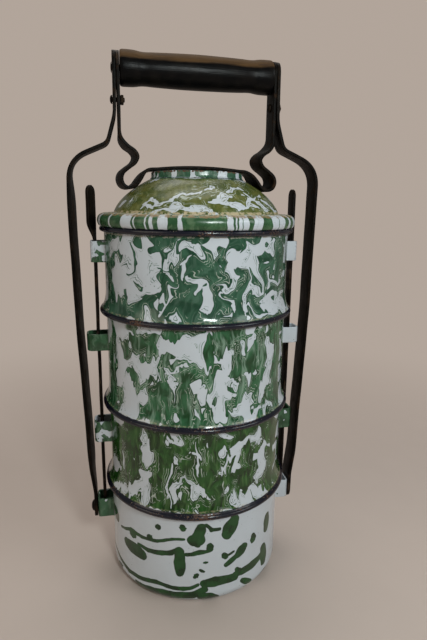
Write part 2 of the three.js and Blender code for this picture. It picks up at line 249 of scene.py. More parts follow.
def make(name, part, body, slot, material, *nodes, sharp=35):
    """Turns a part into a shown piece that rides on a body and stands for CAD nodes."""
    verts, faces = part
    mesh = bpy.data.meshes.new(name)
    mesh.from_pydata([[c * MM for c in v] for v in verts], [], faces)
    shell = bmesh.new()
    shell.from_mesh(mesh)
    bmesh.ops.recalc_face_normals(shell, faces=shell.faces)
    shell.to_mesh(mesh)
    shell.free()
    for face in mesh.polygons:
        face.use_smooth = True
    mesh.set_sharp_from_angle(angle=math.radians(sharp))
    mesh.materials.append(material)
    piece = placed(name, mesh)
    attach(piece, body)
    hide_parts(*nodes)


# ---- node helpers ----

VALUE_SOCKETS, VALUE_OUT = (2, 3), 0  # of a Mix node that mixes numbers
COLOUR_SOCKETS, COLOUR_OUT = (6, 7), 2  # and of one that mixes colours


class Look:
    """A node material with a Principled shader, and short ways to build its nodes."""

    def __init__(self, name):
        self.material = bpy.data.materials.new(name)
        self.material.use_nodes = True
        self.nodes = self.material.node_tree.nodes
        self.links = self.material.node_tree.links
        self.shader = self.nodes["Principled BSDF"]
        coordinates = self.nodes.new("ShaderNodeTexCoord").outputs["Object"]
        self.at = self.vector("SCALE", coordinates, scale=1 / MM)  # place in millimetres
        self.x, self.y, self.z = self.split(self.at)

    def plug(self, socket, value):
        if isinstance(value, bpy.types.NodeSocket):
            self.links.new(value, socket)
        elif value is not None:
            socket.default_value = value

    def math(self, operation, *values):
        node = self.nodes.new("ShaderNodeMath")
        node.operation = operation
        for socket, value in zip(node.inputs, values):
            self.plug(socket, value)
        return node.outputs[0]

    def vector(self, operation, *values, scale=None):
        node = self.nodes.new("ShaderNodeVectorMath")
        node.operation = operation
        for socket, value in zip(node.inputs, values):
            self.plug(socket, value)
        if scale is not None:
            self.plug(node.inputs["Scale"], scale)
        scalar = operation in ("LENGTH", "DISTANCE", "DOT_PRODUCT")
        return node.outputs["Value" if scalar else "Vector"]

    def split(self, value):
        node = self.nodes.new("ShaderNodeSeparateXYZ")
        self.plug(node.inputs[0], value)
        return node.outputs

    def join(self, x, y, z):
        node = self.nodes.new("ShaderNodeCombineXYZ")
        for socket, value in zip(node.inputs, (x, y, z)):
            self.plug(socket, value)
        return node.outputs[0]

    def noise(self, at, size, detail=2.0, rough=0.5, colour=False):
        """Noise with features about size millimetres wide."""
        node = self.nodes.new("ShaderNodeTexNoise")
        self.plug(node.inputs["Vector"], at)
        self.plug(node.inputs["Scale"], 1 / size)
        self.plug(node.inputs["Detail"], detail)
        self.plug(node.inputs["Roughness"], rough)
        return node.outputs["Color" if colour else 0]

    def swing(self, at, size, amount, detail=2.0):
        """Noise from about -amount to amount."""
        value = self.math("SUBTRACT", self.noise(at, size, detail), 0.5)
        return self.math("MULTIPLY", value, 2 * amount)

    def warp(self, at, size, amount, detail=1.0):
        """The place pushed about by noise."""
        push = self.vector("SUBTRACT", self.noise(at, size, detail, colour=True), (0.5, 0.5, 0.5))
        return self.vector("ADD", at, self.vector("SCALE", push, scale=2 * amount))

    def moved_by(self, at, offset):
        return self.vector("ADD", at, offset)

    def stretched(self, at, x, y, z):
        return self.vector("MULTIPLY", at, (x, y, z))

    def step(self, value, low, high):
        """0 below low, 1 above high, smooth between."""
        node = self.nodes.new("ShaderNodeMapRange")
        node.interpolation_type = "SMOOTHSTEP"
        self.plug(node.inputs["Value"], value)
        falling = low > high
        node.inputs["From Min"].default_value = high if falling else low
        node.inputs["From Max"].default_value = low if falling else high
        node.inputs["To Min"].default_value = 1.0 if falling else 0.0
        node.inputs["To Max"].default_value = 0.0 if falling else 1.0
        return node.outputs[0]

    def band(self, value, centre, half):
        """1 where the value is within half of centre."""
        off = self.math("ABSOLUTE", self.math("SUBTRACT", value, centre))
        return self.step(off, half * 1.3, half * 0.7)

    def edges(self, low, high):
        """1 on the sharp outer edges of the mesh."""
        geometry = self.nodes.new("ShaderNodeNewGeometry")
        return self.step(geometry.outputs["Pointiness"], low, high)

    def times(self, a, b):
        return self.math("MULTIPLY", a, b)

    def mix(self, share, a, b):
        """The colour a where share is 0, b where it is 1."""
        node = self.nodes.new("ShaderNodeMix")
        node.data_type = "RGBA"
        self.plug(node.inputs["Factor"], share)
        for socket, colour in zip(COLOUR_SOCKETS, (a, b)):
            self.plug(node.inputs[socket], (*colour, 1.0) if isinstance(colour, tuple) else colour)
        return node.outputs[COLOUR_OUT]

    def mix_value(self, share, a, b):
        """The number a where share is 0, b where it is 1."""
        node = self.nodes.new("ShaderNodeMix")
        self.plug(node.inputs["Factor"], share)
        for socket, value in zip(VALUE_SOCKETS, (a, b)):
            self.plug(node.inputs[socket], value)
        return node.outputs[VALUE_OUT]

    def finish(self, colour, roughness, height, depth, metallic=0.0, specular=0.5):
        """Plugs colour, roughness and a bump of the given height map, depth millimetres deep."""
        self.plug(self.shader.inputs["Base Color"], colour)
        self.plug(self.shader.inputs["Roughness"], roughness)
        self.plug(self.shader.inputs["Metallic"], metallic)
        self.plug(self.shader.inputs["Specular IOR Level"], specular)
        bump = self.nodes.new("ShaderNodeBump")
        bump.inputs["Distance"].default_value = depth * MM
        bump.inputs["Strength"].default_value = 1.0
        self.plug(bump.inputs["Height"], height)
        self.plug(self.shader.inputs["Normal"], bump.outputs[0])
        return self.material


# ---- enamel ----

WHITE = (0.55, 0.60, 0.65)
INK = (0.004, 0.005, 0.013)
RUST = (0.085, 0.035, 0.014)
CREAM = (0.46, 0.38, 0.24)

# the deep, middle and pale tone of each green
BLUE_GREEN = ((0.014, 0.054, 0.030), (0.040, 0.116, 0.070), (0.13, 0.22, 0.17))
LEAF_GREEN = ((0.009, 0.046, 0.015), (0.028, 0.118, 0.050), (0.20, 0.31, 0.23))
MOSS_GREEN = ((0.006, 0.028, 0.004), (0.015, 0.078, 0.011), (0.10, 0.21, 0.06))
BOTTLE_GREEN = ((0.004, 0.026, 0.005), (0.010, 0.062, 0.013), (0.04, 0.12, 0.04))
OLIVE = ((0.055, 0.080, 0.015), (0.115, 0.125, 0.028), (0.24, 0.26, 0.10))
ROLL_GREEN = ((0.018, 0.070, 0.025), (0.035, 0.110, 0.045), (0.16, 0.25, 0.14))
RING_GREEN = ((0.02, 0.075, 0.04), (0.045, 0.12, 0.07), (0.2, 0.3, 0.22))
LUG_GREEN = ((0.015, 0.055, 0.022), (0.04, 0.115, 0.055), (0.15, 0.24, 0.16))

THIN_STROKE = 3.5  # the radius below which a stroke is a thin line
BLUNT_TIP = 0.6  # least share of its radius at the tip of a broad stroke
MELT = 0.8  # how far borders of strokes melt together
FIELD_TIE = 1e-5


def capsule(look, at, a, b, start, end, swell):
    """Millimetres inside a stroke from a to b; negative outside.

    Its radius runs from start to end, and is fuller by swell halfway.
    """
    from_a = look.vector("SUBTRACT", at, (*a, 0))
    if a == b:
        return look.math("SUBTRACT", start, look.vector("LENGTH", from_a))
    run = Vector((b[0] - a[0], b[1] - a[1], 0))
    share = look.vector("DOT_PRODUCT", from_a, tuple(run / run.length_squared))
    share = look.math("MAXIMUM", look.math("MINIMUM", share, 1.0), 0.0)
    nearest = look.vector("SCALE", tuple(run), scale=share)
    radius = start
    if swell:
        bulge = look.times(share, look.math("SUBTRACT", 1.0, share))
        radius = look.math("MULTIPLY_ADD", bulge, 4 * swell, start)
    elif start != end:
        radius = look.math("MULTIPLY_ADD", share, end - start, start)
    return look.math("SUBTRACT", radius, look.vector("DISTANCE", from_a, nearest))


def painted(look, field, at, strokes, tip_share=0.2, weight=1.0):
    """The field with strokes laid over it in order: (radius, point, point, ...), white if radius < 0.

    Strokes narrow towards both ends, thin ones to a point, and weight thickens the thin ones. The
    place is tied to the field, so that each stroke is worked out just when it is laid on and the
    shader stays small.
    """
    flat = look.stretched(at, 1, 1, 0)
    at = look.vector("ADD", flat, look.join(0.0, 0.0, look.times(field, FIELD_TIE)))
    for signed, *points in strokes:
        thin = abs(signed) < THIN_STROKE
        radius = abs(signed) * (weight if thin else 1.0)
        tip = radius * (tip_share if thin else max(tip_share, BLUNT_TIP))
        runs = list(zip(points, points[1:])) or [(points[0], points[0])]
        last = len(runs) - 1
        for k, (a, b) in enumerate(runs):
            start = tip if k == 0 and a != b else radius
            end = tip if k == last and a != b else radius
            swell = radius - tip if last == 0 and a != b else 0
            inside = capsule(look, at, a, b, start, end, swell)
            if signed > 0:
                field = look.math("SMOOTH_MAX", field, inside, MELT)
            else:
                field = look.math("SMOOTH_MIN", field, look.times(inside, -1.0), MELT)
    return field


def unrolled(look, radius):
    """Millimetres round the wall from the front, towards +X, and millimetres up."""
    turn = look.math("ARCTAN2", look.x, look.times(look.y, -1.0))
    return look.join(look.times(turn, radius), look.z, 0.0)


def marbled(look, tones, field, grain, milkiness=0.4):
    """Colour of two enamels run together. The field is positive in the green, in millimetres."""
    deep, mid, pale = tones
    edge = look.step(field, -0.16, 0.16)
    cloud = look.step(look.noise(grain, 9, 3), 0.35, 0.65)
    green = look.mix(cloud, deep, mid)
    milk = look.step(look.noise(look.stretched(grain, 1, 0.16, 0.3), 2.6, 2), 0.48, 0.70)
    green = look.mix(look.times(milk, milkiness), green, pale)
    rim = look.band(field, 0.3, 0.35)
    green = look.mix(look.times(rim, 0.45), green, deep)
    shade = look.times(look.noise(look.moved_by(grain, (40, 7, 3)), 16, 2), 0.2)
    white = look.mix(shade, WHITE, (0.36, 0.37, 0.39))
    return look.mix(edge, white, green)


def drawn_out(look, at, size, length, amount, swirl):
    """Long thin noise, length times as long up the wall as its size, bent by swirls."""
    swirled = look.warp(at, 19, swirl, 1.5)
    return look.swing(look.stretched(swirled, 1, 1 / length, 1), size, amount, 0.6)


# depth into the green, or below 0 into the white; half the width; where it starts; its colour, or
# None for the middle tone of the green
THREADS = (
    (1.5, 0.17, 0.46, (0.42, 0.47, 0.42)),
    (2.7, 0.13, 0.51, (0.38, 0.44, 0.38)),
    (4.2, 0.11, 0.49, (0.34, 0.40, 0.34)),
    (-1.3, 0.16, 0.47, None),
    (-2.4, 0.12, 0.52, None),
)


def threads(look, at, field, colour, tones):
    """Fine lines of each enamel that run beside the borders inside the other, here and there."""
    wander = look.math("ADD", field, look.swing(at, 6, 0.9, 0.5))
    where = look.noise(look.moved_by(at, (11, 50, 9)), 11, 1)
    for depth, half, low, line in THREADS:
        share = look.times(look.band(wander, depth, half), look.step(where, low, low + 0.06))
        clear = look.step(field, 0.1, 0.7) if depth > 0 else look.step(field, -0.1, -0.7)
        share = look.times(look.times(share, clear), 0.85)
        colour = look.mix(share, colour, line or tones[1])
    return colour


def creased(look, at, size, amount, stretch):
    """The place pushed up the wall by ridged noise, whose creases draw the pattern out to points.

    stretch is what u and v are multiplied by before the noise is read.
    """
    push = look.math("ABSOLUTE", look.swing(look.stretched(at, *stretch, 1), size, amount, 0.0))
    return look.vector("ADD", at, look.join(0.0, push, 0.0))


def curled(look, at, curls):
    """The place turned about each (u, v, size, degrees) curl, most at its middle."""
    for u, v, size, degrees in curls:
        off = look.vector("SUBTRACT", at, (u, v, 0))
        near = look.math("EXPONENT", look.times(look.vector("DOT_PRODUCT", off, off), -1 / size**2))
        turn = look.nodes.new("ShaderNodeVectorRotate")
        turn.rotation_type = "Z_AXIS"
        turn.inputs["Center"].default_value = (u, v, 0)
        look.plug(turn.inputs["Vector"], at)
        look.plug(turn.inputs["Angle"], look.times(near, math.radians(degrees)))
        at = turn.outputs[0]
    return at


SPECK_GAP = 5.0


def speckled(look, colour, amount):
    """Pinholes and dark specks."""
    cells = look.nodes.new("ShaderNodeTexVoronoi")
    look.plug(cells.inputs["Vector"], look.at)
    cells.inputs["Scale"].default_value = 1 / SPECK_GAP
    dots = look.step(cells.outputs["Distance"], 0.075, 0.045)
    return look.mix(look.times(dots, amount), colour, (0.02, 0.02, 0.015))


def black_edge(look, colour, rough, top, chips=0.5):
    """The navy-black bead below the given height, worn through to rust and primer."""
    ragged = look.math("ADD", look.z, look.swing(look.at, 3.5, 0.5, 3))
    bead = look.step(ragged, top + 0.2, top - 0.2)
    wear = look.noise(look.at, 1.4, 4, 0.65)
    place = look.noise(look.moved_by(look.at, (5, 3, 90)), 20, 1)
    chip = look.step(look.math("ADD", wear, look.times(place, chips)), 0.60 + chips / 2, 0.66 + chips / 2)
    black = look.mix(look.times(chip, 0.85), INK, look.mix(look.step(wear, 0.66, 0.72), RUST, CREAM))
    colour = look.mix(bead, colour, black)
    return colour, look.mix_value(bead, rough, look.math("ADD", 0.22, look.times(chip, 0.4)))


def patchy_band(look, colour, rough, height, reach, tint=(0.17, 0.12, 0.06), amount=0.8):
    """A patchy band of the tint at the given height, made rougher; most calls lay dirt, rust and chipped
    enamel with it.
    """
    ragged = look.math("ADD", look.z, look.swing(look.at, 2.2, 0.9, 3))
    line = look.band(ragged, height, reach)
    patchy = look.step(look.noise(look.moved_by(look.at, (9, 9, 2)), 2.6, 3, 0.6), 0.42, 0.56)
    share = look.times(look.times(line, patchy), amount)
    return look.mix(share, colour, tint), look.mix_value(share, rough, 0.6)


def enamel_finish(look, colour, rough):
    """Gloss, with the long waves of fired enamel."""
    wave = look.noise(look.at, 11, 2)
    fine = look.noise(look.at, 1.6, 2)
    height = look.math("ADD", wave, look.times(fine, 0.05))
    return look.finish(colour, rough, height, 0.5)


BLACK_HEIGHT = {"pan_1": 4.1, "pan_2": 4.6, "pan_3": 5.1}  # of the black on each skirt


def pan_enamel(pan, tones, bias, strokes, swirl, streak, drip, milkiness, chips, curls=()):
    """Marbled enamel of one pan.

    A higher bias gives more green where no stroke lies. swirl, streak and drip are millimetres by
    which the pattern is bent, frayed along the flow and drawn up and down. The bottom pan has
    separate, rounded strokes instead.
    """
    look = Look(pan + "_enamel")
    index = PANS.index(pan)
    bold = pan == "pan_4"
    moved = look.moved_by(look.at, (0, 0, 31 * (1 + index)))
    if bold:
        grain = look.warp(moved, 14, 5, 0.0)
        field = look.math("ADD", look.swing(grain, 17, 34, 0.0), bias)
    else:
        grain = look.warp(look.warp(moved, 16, 9, 0.0), 7, 3.5, 0.0)
        field = look.math("ADD", look.swing(grain, 13, 26, 0.6), bias)
    at = look.moved_by(unrolled(look, BODY_R), (0, 0, 13 * index))
    at = look.warp(look.warp(at, 13, swirl, 0.0), 5, swirl * 0.3, 0.0)
    if drip:
        at = creased(look, at, 5.0, drip, (1, 0.15))
        at = creased(look, look.moved_by(at, (30, 0, 0)), 6.0, -drip, (1, 0.2))
        at = look.moved_by(at, (-30, 0, 0))
    elif not bold:
        at = creased(look, at, 8.0, 3, (0.9, 0.6))
    at = curled(look, at, curls)
    front = look.step(look.y, 12, -8)
    calmed = look.mix_value(front, field, look.times(field, 0.7))
    field = painted(look, calmed, at, strokes, 0.75 if bold else 0.3, 1.5 if bold else 1.0)
    if streak:
        field = look.math("ADD", field, drawn_out(look, at, 1.8, 7, streak, 6))
    colour = marbled(look, tones, field, at, milkiness)
    if not bold:
        colour = threads(look, at, field, colour, tones)
    colour = speckled(look, colour, 0.6)
    rough = look.math("ADD", 0.09, look.times(look.noise(look.at, 6, 3), 0.12))
    if not bold:
        top = PAN_LOW[pan] + BLACK_HEIGHT[pan]
        colour, rough = black_edge(look, colour, rough, top, chips)
        colour, rough = patchy_band(look, colour, rough, top + 0.7, 0.45, CREAM, 0.3)
    # a patchy grey band just under the edge of the piece above, darker than the white enamel and paler than
    # the green
    above = LID_LOW if pan == "pan_1" else PAN_LOW[PANS[index - 1]]
    colour, rough = patchy_band(look, colour, rough, above - 0.7, 0.5, (0.34, 0.33, 0.27), 0.85)
    return enamel_finish(look, colour, rough)


# Strokes as painted() takes them, in millimetres round from the front and up, and curls as curled() does
PAN_1_STROKES = [
    (-15, (-62, 262), (-48, 242)), (5, (-90, 268), (-86, 222)), (2.2, (-59, 268), (-55, 257), (-57, 250)),
    (0.5, (-62, 255), (-66, 247)), (2.0, (-52, 246), (-48, 239)), (1.8, (-66, 238), (-63, 234)),
    (5, (-72, 219), (-52, 225), (-34, 232)), (-5, (-44, 222), (-42, 218)),
    (9, (-33, 244), (-22, 238), (-18, 226)), (8, (-6, 264), (-4, 250), (2, 230)),
    (2.4, (-38, 252), (-20, 258), (-10, 262)), (1.3, (-36, 254), (-34, 265), (-22, 270)),
    (1.5, (-22, 258), (-20, 268), (-12, 273)), (-3.2, (-10, 268), (-10, 261)),
    (-2.6, (-12, 250), (-11, 240), (-16, 237)), (-2.2, (-19, 253), (-15, 251)),
    (-0.9, (-27, 251), (-27, 238), (-33, 226)), (-1.8, (-33, 250), (-34, 246)),
    (-1.6, (-34, 230), (-40, 233)), (-7, (14, 265), (24, 262)), (-5.5, (27, 262), (28, 252), (33, 243)),
    (-3, (34, 240), (30, 235), (23, 237), (20, 243)), (3.5, (10, 273), (11, 263)),
    (4.6, (19, 255), (16, 240), (18, 228)), (4, (25, 246), (27, 240)),
    (-1.8, (16, 254), (10, 250), (6, 246), (3, 239)), (-1.2, (8, 244), (13, 236), (12, 227)),
    (5, (42, 258), (40, 240)), (-3.4, (36, 266), (42, 264), (48, 270)),
    (-2.2, (46, 252), (54, 246), (62, 247)), (-3.6, (43, 236), (54, 230), (52, 225)),
    (-1.2, (20, 226), (30, 222), (46, 220)), (3.2, (-30, 219), (0, 220), (30, 217), (70, 219)),
    (-1.8, (-10, 228), (-2, 227)),
]

PAN_1_CURLS = [
    (6, 242, 6, 170), (-14, 245, 9, -80), (32, 236, 7, 130), (58, 262, 6, 160), (60, 244, 6, -160),
    (-38, 232, 7, 90), (-24, 261, 8, -90), (-62, 252, 7, 120), (20, 252, 7, -110), (44, 252, 8, 120),
    (-4, 228, 7, 110), (22, 226, 6, -120), (-50, 240, 6, -120), (44, 232, 7, -110), (-30, 246, 6, 100),
    (14, 266, 6, 130),
]

PAN_2_STROKES = [
    (6, (-88, 195), (-84, 150)), (-5, (-76, 200), (-72, 178)), (7, (-58, 205), (-46, 202)),
    (-9, (-66, 176), (-60, 152)), (-6, (-56, 190), (-48, 182), (-38, 192)),
    (2.2, (-60, 187), (-57, 174), (-50, 172), (-44, 178), (-36, 180)), (3, (-72, 168), (-74, 152)),
    (6, (-34, 178), (-30, 152)), (2.4, (-34, 190), (-34, 178)), (7, (-20, 178), (-18, 152)),
    (2.4, (-21, 192), (-20, 178)), (-2.6, (-28, 184), (-28, 180)),
    (-7.5, (-34, 205), (-18, 203), (-6, 193)),
    (1.5, (-38, 180), (-33, 196), (-27, 188), (-21, 197), (-13, 189), (-2, 186)),
    (4, (-3, 210), (-3, 194)), (3.2, (4, 210), (3, 194)), (-3.6, (10, 201), (9, 186)),
    (-6.5, (6, 184), (3, 170), (6, 156)), (-3.5, (-8, 176), (-7, 166)), (2.2, (-12, 170), (-6, 152)),
    (1.7, (1, 168), (1, 163)), (1.2, (-6, 175), (-5, 174)), (4.4, (18, 197), (16, 186), (26, 178)),
    (4, (27, 178), (20, 168), (11, 158)), (-2.6, (12, 178), (18, 176)), (1.6, (13, 177), (14, 176)),
    (-4.6, (28, 170), (23, 158), (26, 148)), (-3, (24, 187), (27, 180)), (-3.4, (26, 201), (32, 208)),
    (6.5, (38, 203), (38, 184)), (-3, (45, 208), (45, 197)), (-4, (51, 192), (46, 176), (38, 164)),
    (3, (33, 174), (36, 158)), (7, (60, 205), (58, 150)), (2.4, (-42, 146), (-10, 145), (12, 147)),
    (3, (34, 148), (64, 150)),
]

PAN_3_STROKES = [
    (9, (-72, 120), (-66, 104)), (-5, (-90, 104), (-80, 101)), (-6.5, (-48, 129), (-46, 118)),
    (-4, (-48, 110), (-52, 98), (-66, 90), (-84, 84)), (-4, (-48, 96), (-50, 82)),
    (-3.4, (-46, 80), (-30, 82), (-22, 77)), (8, (-36, 128), (-36, 104), (-38, 92)),
    (-1.4, (-72, 118), (-74, 104)), (-2.8, (-20, 109), (-27, 100), (-26, 90)),
    (-3.2, (-20, 109), (-13, 104), (-12, 94), (-3, 99)), (2.2, (-19, 106), (-16, 99)),
    (2.8, (-23, 94), (-20, 84)), (1.1, (-10, 89), (-3, 96)), (-0.9, (-11, 136), (-10, 118), (-9, 108)),
    (-0.6, (-4, 135), (-3, 122)), (-0.9, (-28, 120), (-32, 102), (-28, 88)),
    (-1.2, (-26, 124), (-24, 118)), (7, (0, 128), (2, 108), (4, 88)), (-2.8, (10, 130), (8, 124)),
    (-1.3, (6, 111), (18, 129)), (-2, (4, 112), (7, 117)), (-2.2, (16, 110), (21, 128)),
    (6, (28, 128), (30, 108)), (5, (20, 102), (26, 100)), (-3.2, (39, 130), (39, 125)),
    (-4.6, (42, 117), (44, 106), (38, 98)), (-7, (18, 89), (26, 84), (46, 85)), (1.8, (25, 96), (27, 90)),
    (1.0, (32, 88), (38, 78)), (0.9, (50, 84), (55, 76)), (5, (57, 118), (52, 100)),
    (3, (-8, 80), (10, 79)),
]

PAN_4_STROKES = [
    (-40, (-80, 40), (60, 38)), (6, (-96, 52), (-88, 50)), (5.6, (-71, 37), (-54, 35)),
    (1.0, (-80, 46), (-66, 51), (-54, 50), (-40, 51), (-29, 55), (-20, 56)), (2.0, (-47, 53), (-46, 52)),
    (2.2, (-66, 48), (-62, 48)), (1.3, (-58, 42), (-48, 41), (-37, 42), (-29, 44), (-23, 48)),
    (2.8, (-23, 46), (-23, 28)), (1.5, (-18, 44), (-8, 46), (-1, 46)), (1.9, (-1, 51), (0, 47)),
    (6.2, (-13, 56), (-8, 57)), (4.6, (-9, 58), (-7, 66)), (1.1, (-4, 68), (1, 63), (7, 63)),
    (6.0, (18, 68), (13, 58)), (2.0, (-40, 64), (-39, 64)), (1.9, (-20, 67), (-20, 65)),
    (0.9, (-4, 36), (-2.5, 36)), (0.8, (-8, 30), (-5, 28.5)), (1.6, (-11, 25), (-10, 26)),
    (3.2, (27, 42), (23, 37)), (1.8, (23, 37), (13, 31)), (1.8, (10, 41), (12, 38)),
    (0.9, (12, 39), (18, 41)), (2.3, (36, 47), (36.5, 43)), (4.6, (55, 55), (54, 44)),
    (1.3, (-100, 18), (-70, 12), (-40, 15), (-20, 14), (-9, 17)), (3.0, (-4, 18), (4, 19), (20, 18)),
    (2.6, (20, 20), (36, 21), (47, 24)), (2.0, (22, 24), (23, 22)), (4.6, (51, 29), (52, 15)),
    (2.4, (-60, 6), (-30, 7), (-14, 8), (-4, 13)), (3.4, (-6, 6), (4, 4)), (1.9, (27, 12), (35, 7)),
]

DOME_STROKES = [
    (9, (-70, 300), (-30, 305), (10, 306), (50, 304)),
    (-0.7, (-45, 293), (-41, 289), (-30, 293), (-22, 299), (-8, 300), (4, 305)),
    (-1.2, (0, 303), (6, 305)), (-1.0, (-61, 298), (-60, 293)), (-3.0, (-2, 295), (8, 298), (16, 299)),
    (-2.4, (12, 294), (22, 292)), (-1.4, (-22, 291), (-8, 290), (2, 289)), (-1.6, (-20, 292), (-18, 290)),
    (-1.0, (24, 299), (30, 296), (46, 299)), (-2.2, (38, 294), (42, 290)), (1.2, (4, 292), (6, 291)),
    (-1.3, (-47, 289), (-42, 294), (-35, 293), (-37, 289)), (-1.2, (-35, 288), (-18, 290), (-4, 288)),
    (-2.0, (20, 290), (28, 294), (34, 291)), (-1.1, (28, 300), (38, 294), (47, 291)),
    (-1.4, (44, 297), (52, 291), (60, 288)), (-0.9, (8, 299), (20, 304), (32, 302)),
]

DOME_MID_R = 56.0  # where the dome's strokes are measured round it

RIM_STRIPES = [  # place round the roll, and half the width
    (-62, 4.5), (-55, 0.6), (-46, 0.7), (-42, 1.2), (-34, 3), (-23, 1.7), (9, 2.2), (13, 0.5), (16, 1.2),
    (20, 2.2), (27, 1.4), (31, 2.4), (46, 3.4), (54, 4), (66, 2), (80, 5), (96, 2), (-80, 1), (-100, 3),
]


def dome_colour(look, grain):
    field = look.math("ADD", look.swing(grain, 14, 22, 1.5), 4.5)
    at = look.warp(look.warp(unrolled(look, DOME_MID_R), 9, 2.4, 0.0), 3, 0.7, 0.0)
    field = painted(look, field, at, DOME_STROKES)
    field = look.math("ADD", field, look.swing(look.stretched(at, 0.3, 1, 1), 1.8, 1.6, 0.5))
    return threads(look, at, field, marbled(look, OLIVE, field, grain), OLIVE)


def roll_colour(look, grain):
    """Green with upright white stripes."""
    stripes = look.stretched(look.warp(unrolled(look, BEAD_R), 7, 1.8), 1, 0, 0)
    field = look.math("ABSOLUTE", look.swing(look.stretched(look.at, 1, 1, 0.1), 9, 14))
    field = look.math("ADD", field, 1.5)
    for centre, half in RIM_STRIPES:
        field = painted(look, field, stripes, [(-half, (centre, 0))])
    return marbled(look, ROLL_GREEN, field, grain)


def ring_colour(look, grain):
    at = look.stretched(look.moved_by(look.at, (3, 3, 0)), 1, 1, 0.2)
    field = look.math("ADD", look.swing(look.warp(at, 6, 3), 8, 12), 1.0)
    return marbled(look, RING_GREEN, field, grain)


def lid_enamel():
    """Olive and white dome, a worn cream crease, an upright-striped roll and the black edge."""
    look = Look("lid_enamel")
    grain = look.warp(look.stretched(look.at, 1, 1, 1.7), 12, 5)
    colour = dome_colour(look, grain)
    roll = roll_colour(look, grain)
    ragged = look.math("ADD", look.z, look.swing(look.at, 4, 0.5))
    colour = look.mix(look.step(ragged, CREASE_Z + 0.3, CREASE_Z - 0.3), colour, roll)
    ring = ring_colour(look, grain)
    colour = look.mix(look.step(look.z, LID_HIGH - 1.2, LID_HIGH - 0.4), colour, ring)

    rough = look.math("ADD", 0.16, look.times(look.noise(look.at, 6, 3), 0.2))
    colour = speckled(look, colour, 0.5)
    colour, rough = patchy_band(look, colour, rough, CREASE_Z + 0.3, 1.3, CREAM, 0.9)
    colour, rough = patchy_band(look, colour, rough, CREASE_Z - 1.2, 0.7, (0.22, 0.12, 0.04), 0.7)
    colour, rough = black_edge(look, colour, rough, LID_LOW + 3.9, 0.55)
    colour, rough = patchy_band(look, colour, rough, RING_HIGH - 0.2, 0.7, RUST, 1.0)
    return enamel_finish(look, colour, rough)


def lug_enamel(number, side, bias):
    """Green and white enamel on one lug, worn to black on its edges."""
    look = Look(f"lug_{number}_{side}_enamel")
    grain = look.warp(look.moved_by(look.at, (7 * number, 0, 13)), 6, 3)
    field = look.math("ADD", look.swing(grain, 7, 9, 1), bias)
    colour = marbled(look, LUG_GREEN, field, grain)
    colour = speckled(look, colour, 0.5)
    worn = look.edges(0.53, 0.60)
    chipped = look.times(worn, look.step(look.noise(look.at, 1.5, 3), 0.45, 0.6))
    colour = look.mix(chipped, colour, (0.02, 0.016, 0.014))
    rough = look.math("ADD", 0.14, look.times(look.noise(look.at, 4, 2), 0.15))
    return enamel_finish(look, colour, look.mix_value(chipped, rough, 0.55))


# ---- iron and wood ----


def iron(name, flow=(1, 1, 1)):
    """Blackened strip iron: uneven dark scale, brown rust, and edges rubbed bare."""
    look = Look(name)
    grain = look.stretched(look.at, *flow)
    scale_tone = look.step(look.noise(grain, 12, 4, 0.6), 0.35, 0.68)
    colour = look.mix(scale_tone, (0.0018, 0.0013, 0.0010), (0.0062, 0.0044, 0.0028))
    rust = look.step(look.noise(look.moved_by(grain, (31, 4, 77)), 5, 5, 0.65), 0.52, 0.70)
    colour = look.mix(look.times(rust, 0.8), colour, (0.034, 0.018, 0.009))
    pits = look.step(look.noise(look.at, 0.9, 3, 0.6), 0.62, 0.70)
    colour = look.mix(look.times(pits, 0.6), colour, (0.003, 0.003, 0.003))
    worn = look.edges(0.52, 0.60)
    bare = look.times(worn, look.step(look.noise(look.at, 7, 3), 0.40, 0.62))
    colour = look.mix(look.times(bare, 0.6), colour, (0.085, 0.058, 0.040))
    rough = look.math("ADD", 0.36, look.times(look.noise(grain, 4, 4), 0.25))
    rough = look.mix_value(rust, rough, 0.78)
    hammered = look.noise(look.at, 7, 2)
    height = look.math("ADD", look.times(hammered, 0.5), look.times(look.noise(look.at, 1.1, 4, 0.6), 0.16))
    height = look.math("SUBTRACT", height, look.times(pits, 0.06))
    return look.finish(colour, rough, height, 0.7, look.mix_value(rust, 0.1, 0.0), 0.08)


def grip_wood():
    """Black-painted turned wood, the paint worn off along the top to brown wood with a straight grain."""
    look = Look("grip_wood")
    up = look.math("SUBTRACT", look.z, ROD_Z)
    turn = look.math("ARCTAN2", up, look.times(look.y, -1.0))
    high = look.math("SINE", turn)
    fibre = look.stretched(look.at, 0.06, 1, 1)
    lines = look.noise(fibre, 0.9, 4, 0.6)
    broad = look.swing(look.stretched(look.at, 0.35, 1, 1), 9, 0.22, 3)
    wander = look.math("ADD", broad, look.swing(fibre, 1.3, 0.10, 3))
    worn = look.step(look.math("ADD", high, wander), 0.30, 0.52)
    bare = look.mix(lines, (0.034, 0.016, 0.005), (0.135, 0.075, 0.030))
    dark = look.step(look.noise(fibre, 2.4, 3), 0.52, 0.70)
    bare = look.mix(look.times(dark, 0.7), bare, (0.05, 0.028, 0.015))
    dusty = look.step(look.noise(look.at, 9, 3), 0.4, 0.7)
    paint = look.mix(dusty, (0.0022, 0.0021, 0.0024), (0.0060, 0.0050, 0.0045))
    scratch = look.times(look.step(lines, 0.62, 0.72), look.step(look.noise(look.at, 14, 2), 0.5, 0.62))
    paint = look.mix(look.times(scratch, 0.4), paint, (0.035, 0.020, 0.012))
    colour = look.mix(worn, paint, bare)
    rough = look.mix_value(worn, look.math("ADD", 0.26, look.times(look.noise(look.at, 5, 3), 0.14)), 0.62)
    height = look.math("SUBTRACT", look.times(lines, 0.35), look.times(worn, 0.25))
    return look.finish(colour, rough, height, 0.35, specular=0.1)


# ---- pans and lid ----


